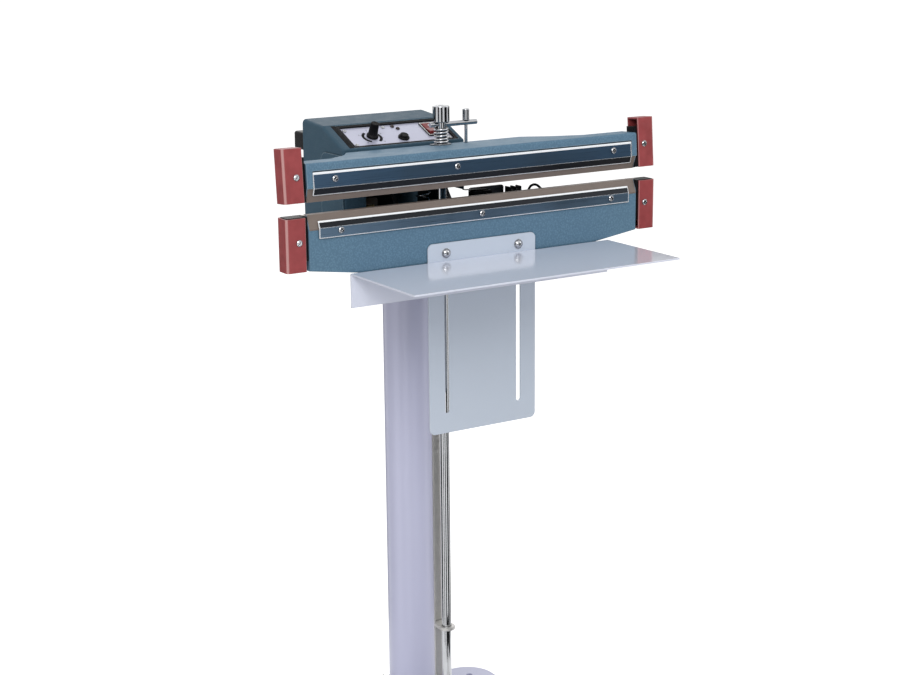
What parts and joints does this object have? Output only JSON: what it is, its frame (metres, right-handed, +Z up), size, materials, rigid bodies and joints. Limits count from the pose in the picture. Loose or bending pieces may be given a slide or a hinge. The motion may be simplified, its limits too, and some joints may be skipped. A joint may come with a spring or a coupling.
{
  "type": "foot pedal sealer",
  "caption": "Floor-standing impulse bag sealer: pedal-driven hinged jaw over a fixed jaw, control box, sliding work table, slotted plate and round column on a flat base.",
  "frame": {"origin": "on the floor under the column's axis", "axes": "+Z up, -Y towards the operator and pedal, +X to the operator's right"},
  "size_m": [0.524, 0.5645, 0.8808],
  "materials": {
    "casting_paint": "blue-grey hammertone paint on iron castings",
    "housing_paint": "dark teal powder coat",
    "stand_paint": "lavender-white gloss paint",
    "black_paint": "black satin paint",
    "grey_strip": "plain flat bar",
    "panel_face": "silver-lavender panel paint",
    "chrome": "bright plating",
    "clamp_steel": "dark bright-rolled strip with polished bends",
    "table_paint": "lavender-white paint, glossier than the stand",
    "zinc_steel": "zinc plating",
    "spring_steel": "bright wire",
    "bronze": "sintered bronze",
    "ribbon": "flat resistance ribbon",
    "brown_tape": "coated woven glass tape",
    "red_plastic": "brick-red moulding",
    "black_plastic": "black moulding",
    "lamp_lens": "dark lens",
    "rocker_red": "dark red moulding",
    "green_board": "green laminate",
    "core_steel": "varnished laminations",
    "coil_wrap": "yellow insulating wrap over the winding",
    "rubber": "ribbed black rubber"
  },
  "bodies": {
    "frame": {"base_plate": "stand_paint", "foot_flange": "stand_paint", "column_tube": "stand_paint", "head_flange": "stand_paint", "frame_bolts": "zinc_steel", "head_bracket": "black_paint", "rod_guide_bush": "bronze", "hinge_shaft": "zinc_steel", "shaft_clips": "zinc_steel", "lower_jaw": "casting_paint", "lower_element": "ribbon", "lower_tape": "brown_tape", "lower_clamp_strip": "clamp_steel", "lower_screws": "chrome", "lower_end_blocks": "black_plastic", "lower_end_caps": "red_plastic", "lift_spring": "spring_steel", "control_housing": "housing_paint", "side_cover": "housing_paint", "housing_screws": "chrome", "inlet_box": "black_plastic", "panel_bezel": "black_plastic", "control_panel": "panel_face", "timer_body": "black_plastic", "pilot_lamps": "lamp_lens", "fuse_holder": "black_plastic", "rocker_frame": "black_plastic", "timer_board": "green_board", "transformer_core": "core_steel", "transformer_coil": "coil_wrap", "micro_switch": "black_plastic", "element_wiring": "black_plastic", "slotted_plate": "stand_paint", "plate_screws": "chrome", "pedal_bracket": "black_paint", "pedal_shaft": "zinc_steel", "guide_strip": "grey_strip"},
    "arm": {"upper_jaw_arm": "casting_paint", "upper_element": "ribbon", "upper_tape": "brown_tape", "upper_clamp_strip": "clamp_steel", "upper_screws": "chrome", "upper_end_blocks": "black_plastic", "upper_end_caps": "red_plastic", "arm_bushes": "bronze", "spring_seat": "zinc_steel"},
    "rod": {"pull_rod": "chrome", "cross_bar": "chrome", "switch_rod": "chrome", "rod_trunnion": "zinc_steel", "rod_nuts": "zinc_steel", "pressure_spring": "spring_steel"},
    "nut": {"pressure_nut": "chrome"},
    "pedal": {"pedal_lever": "black_paint", "pedal_pad": "rubber"},
    "table": {"work_table": "table_paint", "table_bolts": "zinc_steel"},
    "timer": {"timer_knob": "black_plastic", "timer_shaft": "zinc_steel"},
    "rocker": {"power_rocker": "rocker_red"}
  },
  "joints": [
    {"name": "pedal_hinge", "type": "hinge", "parent": "frame", "child": "pedal", "pos_m": [0, 0.078, 0.052], "axis": [1, 0, 0], "range_deg": [0, 4.43], "stiffness_Nm_per_rad": 40, "springref_deg": -40.11},
    {"name": "rod_slide", "type": "slide", "parent": "frame", "child": "rod", "axis": [0, 0, -1], "range_m": [0, 0.013], "deforming": ["pressure_spring"]},
    {"name": "jaw_hinge", "type": "hinge", "parent": "frame", "child": "arm", "pos_m": [0, 0.006, 0.78], "axis": [1, 0, 0], "range_deg": [0, 4.3], "deforming": ["lift_spring"]},
    {"name": "nut_turn", "type": "hinge", "parent": "rod", "child": "nut", "pos_m": [0, -0.09, 0.87], "axis": [0, 0, 1], "range_deg": [-360, 360]},
    {"name": "table_slide", "type": "slide", "parent": "frame", "child": "table", "axis": [0, 0, -1], "range_m": [0, 0.16]},
    {"name": "timer_turn", "type": "hinge", "parent": "frame", "child": "timer", "pos_m": [-0.0705, -0.04333, 0.84448], "axis": [0, -0.4067, 0.9135], "range_deg": [-150, 150]},
    {"name": "rocker_tilt", "type": "hinge", "parent": "frame", "child": "rocker", "pos_m": [0.019, -0.03562, 0.8419], "axis": [1, 0, 0], "range_deg": [0, 14]}
  ],
  "couplings": [
    {"joint": "rod_slide", "follows": "pedal_hinge", "m_per_rad": 0.168},
    {"joint": "jaw_hinge", "follows": "pedal_hinge", "ratio": 0.97065}
  ]
}
